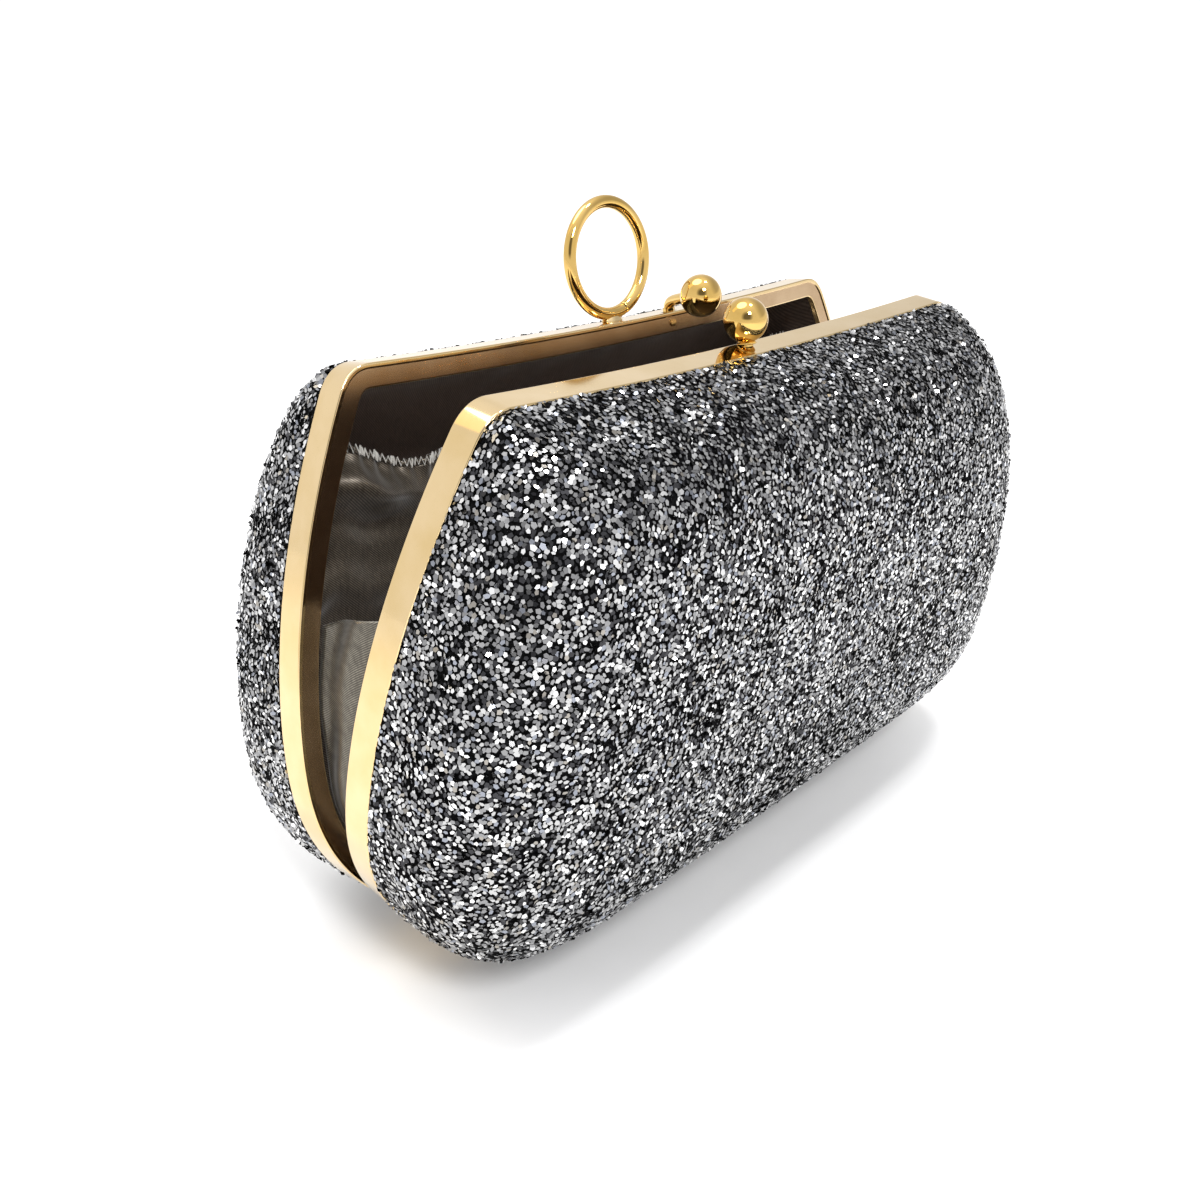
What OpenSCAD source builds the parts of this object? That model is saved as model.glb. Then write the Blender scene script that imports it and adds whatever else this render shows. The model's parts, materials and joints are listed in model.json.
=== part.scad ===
// Hard-shell evening bag: two domed half shells in gilt frames, hinged along the bottom,
// shut by two ball knobs and carried by a finger ring. Drawn partly open, standing on its base.
// Each half is modelled in its own flat frame (x across, y out from the meeting plane, z up from
// the hinge axis) and is then tilted about the hinge axis.

/* [Frame] */
// Half of the bag's greatest width
half_w = 101; // [90:1:115]
// Half width at the top corners
top_half = 77.8; // [70:0.2:88]
// Height of the top corners above the hinge axis
top_z = 121.8; // [110:0.2:135]
// Height of the widest place above the hinge axis
waist_z = 46; // [38:1:55]
// Depth of the outline's bottom edge below the hinge axis
axis_drop = 2.4; // [2.2:0.1:3]
// Sag of the top edge at its middle
top_dip = 1.9; // [0.5:0.1:3]
// Size of the top corners' rounding
corner_r = 5; // [4:0.5:9]
// Width of the band that shows round each half
band_w = 6.85; // [5:0.05:9]
// Thickness of the frame's sheet metal
sheet_t = 0.9; // [0.7:0.1:1.2]
// Width of the flange that faces the other half
flange_w = 4.8; // [4:0.1:6]
// Gap left between each half and the meeting plane
face_gap = 0.15; // [0.1:0.05:0.3]

/* [Opening] */
// Tilt of each half from the meeting plane as drawn
tilt = 7.5; // [3:0.1:12]
// Cut-back angle of the frames below the hinge axis, for the widest opening
relief = 21; // [15:1:25]

/* [Shell] */
// Height of the dome above the band
dome_h = 33; // [25:0.2:40]
// Squareness of the dome's profile towards the sides
edge_side = 7.6; // [4:0.2:16]
// Squareness of the dome's profile towards the top
edge_top = 2.8; // [2:0.1:5]
// Squareness of the dome's profile towards the bottom
edge_low = 2.2; // [2:0.1:4]
// Lean of the shoulder at the sides: 0.3 stands upright, 1 leans
soft_side = 0.3; // [0.25:0.05:1]
// Lean of the shoulder at the top
soft_top = 0.37; // [0.3:0.01:1]
// Lean of the shoulder at the bottom
soft_low = 0.85; // [0.4:0.05:1]

/* [Kiss lock] */
// Radius of each ball knob
knob_r = 4.75; // [3.5:0.05:4.8]
// Place of the front ball: across, out, up
front_knob_at = [0, 0.5, 124.95];
// Place of the rear ball: across, out, up
rear_knob_at = [10.2, -13, 124.3];
// Place across the frame of the rear ball's arm
rear_arm_x = 16; // [12:0.5:20]

/* [Finger ring] */
// Radius of the ring's centreline
ring_r = 12.3; // [10:0.1:14]
// Radius of the ring's wire
wire_r = 1.45; // [1:0.05:2]
// Place of the ring across the rear frame
ring_x = 0; // [-20:0.5:0]

/* [Hinge] */
// Radius of the hinge pin
pin_r = 0.8; // [0.6:0.05:1]
// Outer radius of the hinge knuckles
knuckle_r = 1.9; // [1.6:0.05:2]
// Distance of each hinge's middle from the bag's middle
hinge_x = 46; // [35:1:50]
// Length of each hinge
hinge_len = 12; // [9:0.5:16]

/* [Hidden] */

GOLD = [0.86, 0.70, 0.42];
STEEL = [0.75, 0.73, 0.70];
GLITTER = [0.34, 0.35, 0.38];
BOARD = [0.16, 0.15, 0.15];
SATIN = [0.20, 0.17, 0.14];
TAUPE = [0.42, 0.37, 0.30];

// Outline of a half, seen from the meeting plane
bottom_z = -axis_drop;
corner_x = 40;             // where the flat bottom ends
low_power = 2.2;           // roundness of the bottom corners
side_power = 1.85;         // how the sides draw in towards the top
dome_z = 36;               // height of the dome's middle
skirt_d = 2.8;             // how far in the shells reach behind the flange
cover_t = 0.9;
shell_t = 1.2;
lining_t = 0.6;
tuck_t = 0.3;              // cover cloth folded in between band and shell
rings = [0.988, 0.96, 0.91, 0.82, 0.66, 0.38];

function top_at(x) = top_z - top_dip * (1 - pow(x / top_half, 2));
function side_x(z) = z >= waist_z
    ? half_w - (half_w - top_half) * pow((z - waist_z) / (top_z - waist_z), side_power)
    : corner_x + (half_w - corner_x)
        * pow(max(0, 1 - pow((waist_z - z) / (waist_z - bottom_z), low_power)), 1 / low_power);
// Point on the bottom corner: 90 is the flat bottom's end, 0 is the widest place
function low_point(a) = [
    corner_x + (half_w - corner_x) * pow(cos(a), 2 / low_power),
    waist_z - (waist_z - bottom_z) * pow(sin(a), 2 / low_power)
];
function bezier(a, b, c, t) = (1 - t) * (1 - t) * a + 2 * t * (1 - t) * b + t * t * c;

fillet_a = [side_x(top_z - corner_r), top_z - corner_r];
fillet_c = [top_half - corner_r, top_at(top_half - corner_r)];
right_side = concat(
    [for (i = [0:2]) [corner_x * i / 3, bottom_z]],
    [for (a = [90:-9:9]) low_point(a)],
    [for (i = [0:5]) let (z = waist_z + (fillet_a[1] - waist_z) * i / 6) [side_x(z), z]],
    [for (t = [0:0.2:1]) bezier(fillet_a, [top_half, top_z], fillet_c, t)],
    [for (i = [1:4]) let (x = fillet_c[0] * (1 - i / 4)) [x, top_at(x)]]
);
half_n = len(right_side);
outline = concat(right_side, [for (i = [half_n - 2:-1:1]) [-right_side[i][0], right_side[i][1]]]);
n_out = len(outline);

function unit(v) = v / norm(v);
function inward(pts, i) = let (n = len(pts), t = unit(pts[(i + 1) % n] - pts[(i + n - 1) % n]))
    [-t[1], t[0]];
function inset(t) = [for (i = [0:n_out - 1]) outline[i] + t * inward(outline, i)];

// Lowest point of the tilted half, which stands on the floor
function tilted_z(d, z) = z * cos(tilt) - d * sin(tilt);
function fall(u, squareness, lean) = pow(1 - pow(min(1, u), squareness), lean);
function dome_d(x, z, h) = h * fall(abs(x) / side_x(z), edge_side, soft_side) * (z > dome_z
    ? fall((z - dome_z) / (top_at(x) - dome_z), edge_top, soft_top)
    : fall((dome_z - z) / (dome_z - bottom_z), edge_low, soft_low));
// Across-the-bag width of a layer that is t thick, where the side slants
function slanted(t, z) = t * norm([1, side_x(z + 0.5) - side_x(z - 0.5)]);
function shrunk(p, s) = [s * p[0], dome_z + s * (p[1] - dome_z)];
function dome_rings(t, h, d) = let (base = inset(t))
    concat([[for (p = base) [p[0], d, p[1]]]],
        [for (s = rings) [for (i = [0:n_out - 1])
            let (p = shrunk(base[i], s), o = shrunk(outline[i], s))
            [p[0], d + dome_d(o[0], o[1], h), p[1]]]]);
cover_edge = 0.35;
cover_d = band_w + 0.05;
cover_outer = dome_rings(cover_edge, dome_h, cover_d);
floor_z = min(concat([tilted_z(band_w, bottom_z)],
    [for (r = cover_outer) for (p = r) tilted_z(p[1], p[2])]));
axis_z = -floor_z;

module rear_half() translate([0, 0, axis_z]) rotate([-tilt, 0, 0]) children();
module front_half() mirror([0, 1, 0]) rear_half() children();

// Plate of the given outline between two distances from the meeting plane
module plate(pts, d0, d1) translate([0, d1, 0]) rotate([90, 0, 0]) linear_extrude(d1 - d0) polygon(pts);
module hoop(t0, t1, d0, d1) difference() {
    plate(inset(t0), d0, d1);
    plate(inset(t1), d0 - 1, d1 + 1);
}

// Closed skin between an outer and an inner stack of rings that both end in a crown point
function loft_points(outer, inner, crown_out, crown_in) =
    concat([for (r = outer) for (p = r) p], [for (r = inner) for (p = r) p], [crown_out, crown_in]);
function band_faces(first, n, count) = [
    for (k = [0:count - 2]) for (i = [0:n - 1]) let (j = (i + 1) % n, a = first + k * n, b = a + n)
        each [[a + i, a + j, b + j], [a + i, b + j, b + i]]
];
function flip(faces) = [for (f = faces) [f[0], f[2], f[1]]];
function loft_faces(n, n_outer, n_inner) = let (
        in0 = n_outer * n, last_out = in0 - n, last_in = (n_outer + n_inner - 1) * n,
        crown_out = (n_outer + n_inner) * n, crown_in = crown_out + 1
    ) concat(
        band_faces(0, n, n_outer), [for (i = [0:n - 1]) [last_out + i, last_out + (i + 1) % n, crown_out]],
        flip(band_faces(in0, n, n_inner)),
        [for (i = [0:n - 1]) [last_in + (i + 1) % n, last_in + i, crown_in]],
        [for (i = [0:n - 1]) let (j = (i + 1) % n) each [[i, in0 + j, j], [i, in0 + i, in0 + j]]]
    );
module skin(outer, inner, crown_out, crown_in)
    polyhedron(loft_points(outer, inner, [0, crown_out, dome_z], [0, crown_in, dome_z]),
        loft_faces(n_out, len(outer), len(inner)), convexity = 6);
function rim(t, d) = [for (p = inset(t)) [p[0], d, p[1]]];

cover_in_t = sheet_t + tuck_t;
shell_in_t = cover_in_t + shell_t;
lining_in_t = shell_in_t + lining_t;
cover_in_h = dome_h - cover_t;
shell_in_h = cover_in_h - shell_t;
lining_in_h = shell_in_h - lining_t;

module cover() skin(
    concat([rim(sheet_t, skirt_d), rim(sheet_t, band_w)], cover_outer),
    concat([rim(cover_in_t, skirt_d)], dome_rings(cover_in_t, cover_in_h, cover_d)),
    cover_d + dome_h, cover_d + cover_in_h);
module shell() skin(
    concat([rim(cover_in_t, skirt_d)], dome_rings(cover_in_t, cover_in_h, cover_d)),
    concat([rim(shell_in_t, skirt_d)], dome_rings(shell_in_t, shell_in_h, cover_d)),
    cover_d + cover_in_h, cover_d + shell_in_h);
module lining() skin(
    concat([rim(shell_in_t, skirt_d)], dome_rings(shell_in_t, shell_in_h, cover_d)),
    concat([rim(lining_in_t, skirt_d)], dome_rings(lining_in_t, lining_in_h, cover_d)),
    cover_d + shell_in_h, cover_d + lining_in_h);

// Corner tongues: strips inside the bottom corners that line the halves up as they shut
tongue_from = 6;           // corners of the outline, counted from the middle of the bottom edge
tongue_to = 9;
slot_room = 0.3;           // how far the slots run past the tongues, in outline steps
tongue_t = 0.7;
tongue_out = 1.7;          // reach beyond the meeting plane
tongue_play = 0.15;
tongue_slot = 2.6;
function along(pts, u) = let (i = floor(u)) pts[i] + (u - i) * (pts[i + 1] - pts[i]);
function strip(t0, t1, u0, u1) = let (
        stops = concat([u0], [for (i = [floor(u0) + 1:ceil(u1) - 1]) i], [u1]), last = len(stops) - 1
    ) concat([for (u = stops) along(inset(t0), u)], [for (k = [last:-1:0]) along(inset(t1), stops[k])]);
module corner_tongue() {
    plate(strip(sheet_t, sheet_t + tongue_t, tongue_from, tongue_to), face_gap, skirt_d - 0.1);
    plate(strip(sheet_t + tongue_play, sheet_t + tongue_t, tongue_from, tongue_to),
        -tongue_out, face_gap + 0.01);
}
module corner_slot()
    plate(strip(sheet_t, tongue_slot, tongue_from - slot_room, tongue_to + slot_room), -1, sheet_t + 0.5);

// Hinges: two knuckles on the rear leaf, one between them on the front leaf
cut_r = knuckle_r + 0.35;
pin_play = 0.05;
leaf_d = face_gap + sheet_t;
leaf_t = 0.6;
leaf_top = 7;
knuckle_l = hinge_len / 3;
knuckle_play = 0.15;
module along_x(r, l) rotate([0, 90, 0]) cylinder(r = r, h = l, center = true, $fn = 48);
module hinge_room() for (s = [-1, 1]) translate([s * hinge_x, 0, 0]) {
    along_x(cut_r, hinge_len + 1);
    translate([-hinge_len / 2 - 0.5, leaf_d, -sheet_t]) cube([hinge_len + 1, 2 * leaf_t, leaf_top + 2]);
}
module leaf_plate() translate([-hinge_len / 2, leaf_d, -sheet_t])
    cube([hinge_len, leaf_t, leaf_top + sheet_t]);
module rear_leaf() difference() {
    union() {
        leaf_plate();
        for (s = [-1, 1]) translate([s * knuckle_l, 0, 0]) along_x(knuckle_r, knuckle_l - knuckle_play);
    }
    along_x(cut_r, knuckle_l + knuckle_play);
    along_x(pin_r, hinge_len + 2);
}
module front_leaf() difference() {
    union() {
        leaf_plate();
        along_x(knuckle_r, knuckle_l - knuckle_play);
    }
    for (s = [-1, 1]) translate([s * knuckle_l, 0, 0]) along_x(cut_r, knuckle_l + knuckle_play);
    along_x(pin_r + pin_play, hinge_len + 2);
}

// Kiss lock: each ball stands on an arm that is riveted behind the flange and comes up through the band
rivet_z = top_at(0) - 2.5;
rivet_r = 0.9;
rivet_play = 0.05;
head_r = 1.5;
arm_w = 3.4;
arm_t = 0.8;
arm_d = face_gap + sheet_t + 0.1;
slot_w = arm_w + 1.6;
neck_r = 1.3;
module arm_slot(x) {
    translate([x - slot_w / 2, arm_d - 0.15, rivet_z + 0.6]) cube([slot_w, arm_t + 0.3, 4]);
    translate([x, 0, rivet_z]) rotate([-90, 0, 0]) cylinder(r = rivet_r, h = 2, $fn = 48);
}
module arm_plate(x) difference() {
    union() {
        translate([x - arm_w / 2, arm_d, rivet_z]) cube([arm_w, arm_t, 3.6]);
        translate([x, arm_d, rivet_z]) rotate([-90, 0, 0]) cylinder(r = 1.55, h = arm_t, $fn = 48);
    }
    translate([x, 0, rivet_z]) rotate([-90, 0, 0]) cylinder(r = rivet_r + rivet_play, h = 4, $fn = 48);
}
module bead(at) translate(at) sphere(r = neck_r, $fn = 20);
module neck(a, b) hull() {
    bead(a);
    bead(b);
}
module rivet(x) {
    translate([x, face_gap, rivet_z]) rotate([-90, 0, 0]) cylinder(r = rivet_r, h = 2.5, $fn = 48);
    translate([x, arm_d + arm_t + 0.1, rivet_z]) rotate([-90, 0, 0])
        cylinder(r = head_r, h = 0.6, $fn = 48);
}
arm_mid = arm_d + arm_t / 2;
elbow_z = rivet_z + 4.6;

// Finger ring on the rear frame's top
ring_d = 5.4;
ring_z = top_at(ring_x) + 0.5 + wire_r + ring_r;
module ring_wire(extra) translate([ring_x, ring_d, ring_z]) rotate([90, 0, 0])
    rotate_extrude($fn = 96) translate([ring_r, 0]) circle(r = wire_r + extra, $fn = 32);

// Slip pocket: a cloth curtain across the rear half with an elastic top hem
pocket_t = 1;
pocket_low = 10;
pocket_high = 97;
pocket_n = 12;
pocket_inset = lining_in_t + 0.8;
function pocket_d(x, z) = let (u = x / half_w, v = (z - pocket_low) / (pocket_high - pocket_low))
    9 + 11 * (1 - u * u) * (0.45 + 0.55 * v) + 5 * (1 - v);
function pocket_point(i, k, t) = let (
        z = pocket_low + (pocket_high - pocket_low) * k / 6,
        x = (side_x(z) - slanted(pocket_inset, z)) * (2 * i / pocket_n - 1) * 0.985
    ) [x, pocket_d(x, z) + t, z - 3 * (k / 6) * (1 - pow(x / 85, 2))];
module sheet(front, back, cols, rows) {
    n = cols * rows;
    polyhedron(concat(front, back), concat(
        [for (k = [0:rows - 2]) for (i = [0:cols - 2]) let (a = k * cols + i, b = a + cols)
            each [[a, b, b + 1], [a, b + 1, a + 1]]],
        [for (k = [0:rows - 2]) for (i = [0:cols - 2]) let (a = n + k * cols + i, b = a + cols)
            each [[a, b + 1, b], [a, a + 1, b + 1]]],
        [for (i = [0:cols - 2]) each [[i, i + 1, n + i + 1], [i, n + i + 1, n + i]]],
        [for (i = [0:cols - 2]) let (a = (rows - 1) * cols + i)
            each [[a, n + a + 1, a + 1], [a, n + a, n + a + 1]]],
        [for (k = [0:rows - 2]) let (a = k * cols, b = a + cols) each [[a, n + a, n + b], [a, n + b, b]]],
        [for (k = [0:rows - 2]) let (a = k * cols + cols - 1, b = a + cols)
            each [[a, n + b, n + a], [a, b, n + b]]]
    ), convexity = 4);
}
elastic_h = 4;
function elastic_point(i, k, t) = let (
        e = pocket_point(i, 6, 0),
        z = e[2] + 0.02 + elastic_h * k
    ) [e[0], e[1] + pocket_t / 2 + t, z];

// Gussets: cloth webs between the halves at the sides, drawn in the tilted world frame
gusset_low = 8;
gusset_high = 66;
gusset_t = 0.8;
gusset_in = flange_w + 1;
function gusset_point(i, k, t) = let (
        v = k / 6, u = i / 4 - 1, z = gusset_low + (gusset_high - gusset_low) * v,
        y = u * (z * tan(tilt) + 2),
        fold = (1 - u * u) * (1 + 5 * v)
    ) [-(side_x(z) - slanted(gusset_in, z) - fold) + t, y, axis_z + z * cos(tilt)];
module gusset() sheet(
    [for (k = [0:6]) for (i = [0:8]) gusset_point(i, k, 0)],
    [for (k = [0:6]) for (i = [0:8]) gusset_point(i, k, gusset_t)], 9, 7);

module frame_metal(knob_x) difference() {
    union() {
        hoop(0, sheet_t, face_gap, band_w);
        hoop(sheet_t / 2, flange_w, face_gap, face_gap + sheet_t);
        hoop(flange_w - 0.6, flange_w, face_gap, 2);
    }
    rotate([relief, 0, 0]) translate([-half_w, -10, -10]) cube([2 * half_w, 10, 10]);
    hinge_room();
    for (s = [0, 1]) mirror([s, 0, 0]) corner_slot();
    arm_slot(knob_x);
}

module rear_frame() color(GOLD) rear_half() frame_metal(rear_arm_x);
module front_frame() color(GOLD) front_half() frame_metal(front_knob_at[0]);
module rear_shell() color(BOARD) rear_half() shell();
module front_shell() color(BOARD) front_half() shell();
module rear_cover() color(GLITTER) rear_half() cover();
module front_cover() color(GLITTER) front_half() cover();
module rear_lining() color(SATIN) rear_half() lining();
module front_lining() color(SATIN) front_half() lining();
module rear_hinge_leaf_left() color(STEEL) rear_half() translate([-hinge_x, 0, 0]) rear_leaf();
module rear_hinge_leaf_right() color(STEEL) rear_half() translate([hinge_x, 0, 0]) rear_leaf();
module front_hinge_leaf_left() color(STEEL) front_half() translate([-hinge_x, 0, 0]) front_leaf();
module front_hinge_leaf_right() color(STEEL) front_half() translate([hinge_x, 0, 0]) front_leaf();
module hinge_pin_left() color(STEEL) translate([-hinge_x, 0, axis_z]) along_x(pin_r, hinge_len + 0.6);
module hinge_pin_right() color(STEEL) translate([hinge_x, 0, axis_z]) along_x(pin_r, hinge_len + 0.6);
module corner_tongue_left() color(GOLD) rear_half() mirror([1, 0, 0]) corner_tongue();
module corner_tongue_right() color(GOLD) rear_half() corner_tongue();
module front_knob() color(GOLD) front_half() translate(front_knob_at) sphere(r = knob_r, $fn = 64);
module rear_knob() color(GOLD) rear_half() translate(rear_knob_at) sphere(r = knob_r, $fn = 64);
module front_knob_arm() color(GOLD) front_half() difference() {
    union() {
        arm_plate(front_knob_at[0]);
        neck([front_knob_at[0], arm_mid, elbow_z - 0.6], front_knob_at);
    }
    translate(front_knob_at) sphere(r = knob_r, $fn = 64);
}
module rear_knob_arm() color(GOLD) rear_half() difference() {
    union() {
        arm_plate(rear_arm_x);
        neck([rear_arm_x, arm_mid, elbow_z], [rear_arm_x - 0.5, arm_mid - 1, elbow_z + 0.6]);
        neck([rear_arm_x - 0.5, arm_mid - 1, elbow_z + 0.6], rear_knob_at);
    }
    translate(rear_knob_at) sphere(r = knob_r, $fn = 64);
}
module rear_arm_rivet() color(GOLD) rear_half() rivet(rear_arm_x);
module front_arm_rivet() color(GOLD) front_half() rivet(front_knob_at[0]);
module finger_ring() color(GOLD) rear_half() ring_wire(0);
module ring_saddle() color(GOLD) rear_half() difference() {
    translate([ring_x, ring_d, top_at(ring_x) - 1]) scale([2.1, 1.25, 1.6]) sphere(r = 1.6, $fn = 48);
    plate(outline, 0, 10);
    ring_wire(0);
}
module slip_pocket() color(TAUPE) rear_half() sheet(
    [for (k = [0:6]) for (i = [0:pocket_n]) pocket_point(i, k, 0)],
    [for (k = [0:6]) for (i = [0:pocket_n]) pocket_point(i, k, pocket_t)], pocket_n + 1, 7);
module pocket_elastic() color(TAUPE) rear_half() sheet(
    [for (k = [0:1]) for (i = [0:pocket_n]) elastic_point(i, k, -0.8)],
    [for (k = [0:1]) for (i = [0:pocket_n]) elastic_point(i, k, 0.8)], pocket_n + 1, 2);
module gusset_left() color(SATIN) gusset();
module gusset_right() color(SATIN) mirror([1, 0, 0]) gusset();

rear_frame();
front_frame();
rear_shell();
front_shell();
rear_cover();
front_cover();
rear_lining();
front_lining();
rear_hinge_leaf_left();
rear_hinge_leaf_right();
front_hinge_leaf_left();
front_hinge_leaf_right();
hinge_pin_left();
hinge_pin_right();
corner_tongue_left();
corner_tongue_right();
rear_knob();
front_knob();
rear_knob_arm();
front_knob_arm();
rear_arm_rivet();
front_arm_rivet();
finger_ring();
ring_saddle();
slip_pocket();
pocket_elastic();
gusset_left();
gusset_right();
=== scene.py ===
"""Looks of the hard-shell evening bag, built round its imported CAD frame.

Each half is drawn in its own flat frame, in millimetres: x across, d out from the meeting plane,
z up from the hinge axis. place() tilts a half about the hinge and turns it into metres.
"""

import json
import math

import bmesh
import bpy
import numpy as np
from mathutils import Matrix, Vector
from mathutils.kdtree import KDTree


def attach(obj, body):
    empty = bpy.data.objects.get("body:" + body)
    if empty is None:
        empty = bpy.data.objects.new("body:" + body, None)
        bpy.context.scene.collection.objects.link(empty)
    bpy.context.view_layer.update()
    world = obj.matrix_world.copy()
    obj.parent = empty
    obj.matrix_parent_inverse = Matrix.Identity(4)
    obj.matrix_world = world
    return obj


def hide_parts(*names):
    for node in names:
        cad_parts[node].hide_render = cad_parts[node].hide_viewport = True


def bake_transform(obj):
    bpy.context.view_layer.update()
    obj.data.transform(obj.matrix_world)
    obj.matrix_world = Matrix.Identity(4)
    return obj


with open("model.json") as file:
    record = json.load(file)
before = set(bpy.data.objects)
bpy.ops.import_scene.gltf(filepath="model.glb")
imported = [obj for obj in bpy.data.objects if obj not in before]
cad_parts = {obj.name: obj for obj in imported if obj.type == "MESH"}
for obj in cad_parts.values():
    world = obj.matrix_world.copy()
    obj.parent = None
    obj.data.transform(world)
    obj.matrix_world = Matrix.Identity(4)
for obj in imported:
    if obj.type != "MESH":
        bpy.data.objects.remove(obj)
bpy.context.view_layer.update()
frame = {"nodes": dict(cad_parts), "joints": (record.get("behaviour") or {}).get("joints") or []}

# ---------------------------------------------------------------- driving dimensions, mm
MM = 0.001
AXIS_Z = frame["joints"][0]["pos_m"][2] / MM
TILT = math.radians(7.5)
REAR, FRONT = 1, -1

# Outline of a half, seen from the meeting plane
HALF_W = 101.0
TOP_HALF = 77.8
TOP_Z = 121.8
WAIST_Z = 46.0
BOTTOM_Z = -2.4
TOP_DIP = 1.9
CORNER_R = 5.0
CORNER_X = 40.0
LOW_POWER = 2.2
SIDE_POWER = 1.85
# Points on its bottom corner, side, top fillet, top edge and bottom flat, at a detail of 1
OUTLINE_STEPS = (20, 18, 6, 12, 5)

# Frame: a band outside and a flange that faces the other half
BAND_W = 6.85
SHEET_T = 0.9
FLANGE_W = 4.8
FACE_GAP = 0.15
RECESS_D = FACE_GAP + 0.32
RELIEF = math.tan(math.radians(21))

# Dome of a half: its height, and how square and how lean it falls off each way
DOME_H = 33.0
DOME_Z = 36.0
FALL_SIDES = (7.6, 0.3)
FALL_ABOVE = (2.8, 0.37)
FALL_BELOW = (2.2, 0.85)
TOP_EASE, EASE_OVER = 0.7, 3.0

# Layers of a half, from the glitter cloth to the lining
COVER_T = 0.9
SHELL_T = 1.2
LINING_T = 0.6
TUCK_T = 0.3
COVER_EDGE = 0.35
COVER_D = BAND_W + 0.05
SKIRT_D = 2.8
GROUND_SINK = 0.25
CLEAR = 0.02
COVER_IN_T = SHEET_T + TUCK_T
SHELL_IN_T = COVER_IN_T + SHELL_T
LINING_IN_T = SHELL_IN_T + LINING_T
COVER_IN_H = DOME_H - COVER_T
SHELL_IN_H = COVER_IN_H - SHELL_T
LINING_IN_H = SHELL_IN_H - LINING_T
DETAIL, ROWS = 2, 46

# Lock balls with their arms, finger ring and hinges; a place is (x, d, z) in its half's flat frame
KNOB_R = 4.75
FRONT_KNOB = (0.0, 0.5, 124.95)
REAR_KNOB = (10.2, -13.0, 124.3)
REAR_ARM_X = 16.0
ARM_MID = 1.55
ARM_T = 0.8
ARM_W = 3.4
RIVET_DROP = 2.5
RING_R = 12.3
WIRE_R = 1.45
RING_X = 0.0
RING_D = 5.4
RING_LIFT = 0.1
HINGE_X = 46.0
HINGE_LEN = 12.0

# Each half: side, body, first word of its nodes, and the seeds of its flakes and of its lining's wrinkles
HALVES = (
    (REAR, "rear_half", "rear", 11, 5),
    (FRONT, "front_half", "front", 23, 9),
)


# ---------------------------------------------------------------- shape of a half
def top_at(x):
    return TOP_Z - TOP_DIP * (1 - (x / TOP_HALF) ** 2)


def side_x(z):
    """Half width of the outline at a height."""
    z = np.asarray(z, float)
    rise = np.clip((z - WAIST_Z) / (TOP_Z - WAIST_Z), 0, None)
    drop = np.clip((WAIST_Z - z) / (WAIST_Z - BOTTOM_Z), 0, 1)
    upper = HALF_W - (HALF_W - TOP_HALF) * rise**SIDE_POWER
    lower = CORNER_X + (HALF_W - CORNER_X) * (1 - drop**LOW_POWER) ** (1 / LOW_POWER)
    return np.where(z >= WAIST_Z, upper, lower)


def bottom_corner(angle):
    """Point of the right bottom corner, from the waist at 0 to the bottom at a right angle."""
    return (
        CORNER_X + (HALF_W - CORNER_X) * math.cos(angle) ** (2 / LOW_POWER),
        WAIST_Z - (WAIST_Z - BOTTOM_Z) * math.sin(angle) ** (2 / LOW_POWER),
    )


def outline_points(detail):
    """Closed outline of a half seen from the meeting plane, and its inward normals."""
    low_n, side_n, fillet_n, top_n, flat_n = (detail * n for n in OUTLINE_STEPS)
    fillet = [
        np.array([float(side_x(TOP_Z - CORNER_R)), TOP_Z - CORNER_R]),
        np.array([TOP_HALF, TOP_Z]),
        np.array([TOP_HALF - CORNER_R, top_at(TOP_HALF - CORNER_R)]),
    ]
    right = [(CORNER_X * i / flat_n, BOTTOM_Z) for i in range(flat_n)]
    right += [bottom_corner(math.pi / 2 * (1 - i / low_n)) for i in range(low_n)]
    for i in range(side_n):
        z = WAIST_Z + (fillet[0][1] - WAIST_Z) * i / side_n
        right.append((float(side_x(z)), z))
    for i in range(fillet_n):
        t = i / fillet_n
        right.append(tuple((1 - t) ** 2 * fillet[0] + 2 * t * (1 - t) * fillet[1] + t * t * fillet[2]))
    for i in range(top_n + 1):
        x = fillet[2][0] * (1 - i / top_n)
        right.append((x, top_at(x)))
    half = np.array(right)
    points = np.vstack([half, half[-2:0:-1] * [-1, 1]])
    along = np.roll(points, -1, 0) - np.roll(points, 1, 0)
    along /= np.linalg.norm(along, axis=1)[:, None]
    return points, np.stack([-along[:, 1], along[:, 0]], 1)


def place(points, side):
    """Points of a half's flat frame, in the bag's own frame, in metres."""
    x, d, z = np.moveaxis(np.asarray(points, float), -1, 0)
    y = d * math.cos(TILT) + z * math.sin(TILT)
    up = AXIS_Z + z * math.cos(TILT) - d * math.sin(TILT)
    return np.stack([x, side * y, up], -1) * MM


def fall(u, squareness, lean):
    """Falls from 1 to 0 as u goes from 0 to 1."""
    return np.clip(1 - np.clip(u, 0, 1) ** squareness, 0, 1) ** lean


def dome_d(x, z, height):
    """How far a dome stands out from its edge."""
    sides = fall(np.abs(x) / side_x(z), *FALL_SIDES)
    above = fall((z - DOME_Z) / (top_at(x) - DOME_Z), *FALL_ABOVE)
    below = fall((DOME_Z - z) / (DOME_Z - BOTTOM_Z), *FALL_BELOW)
    ease = 1 - TOP_EASE * np.exp(-np.clip(top_at(x) - z, 0, None) / EASE_OVER)
    return height * sides * np.where(z > DOME_Z, above * ease, below)


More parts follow.
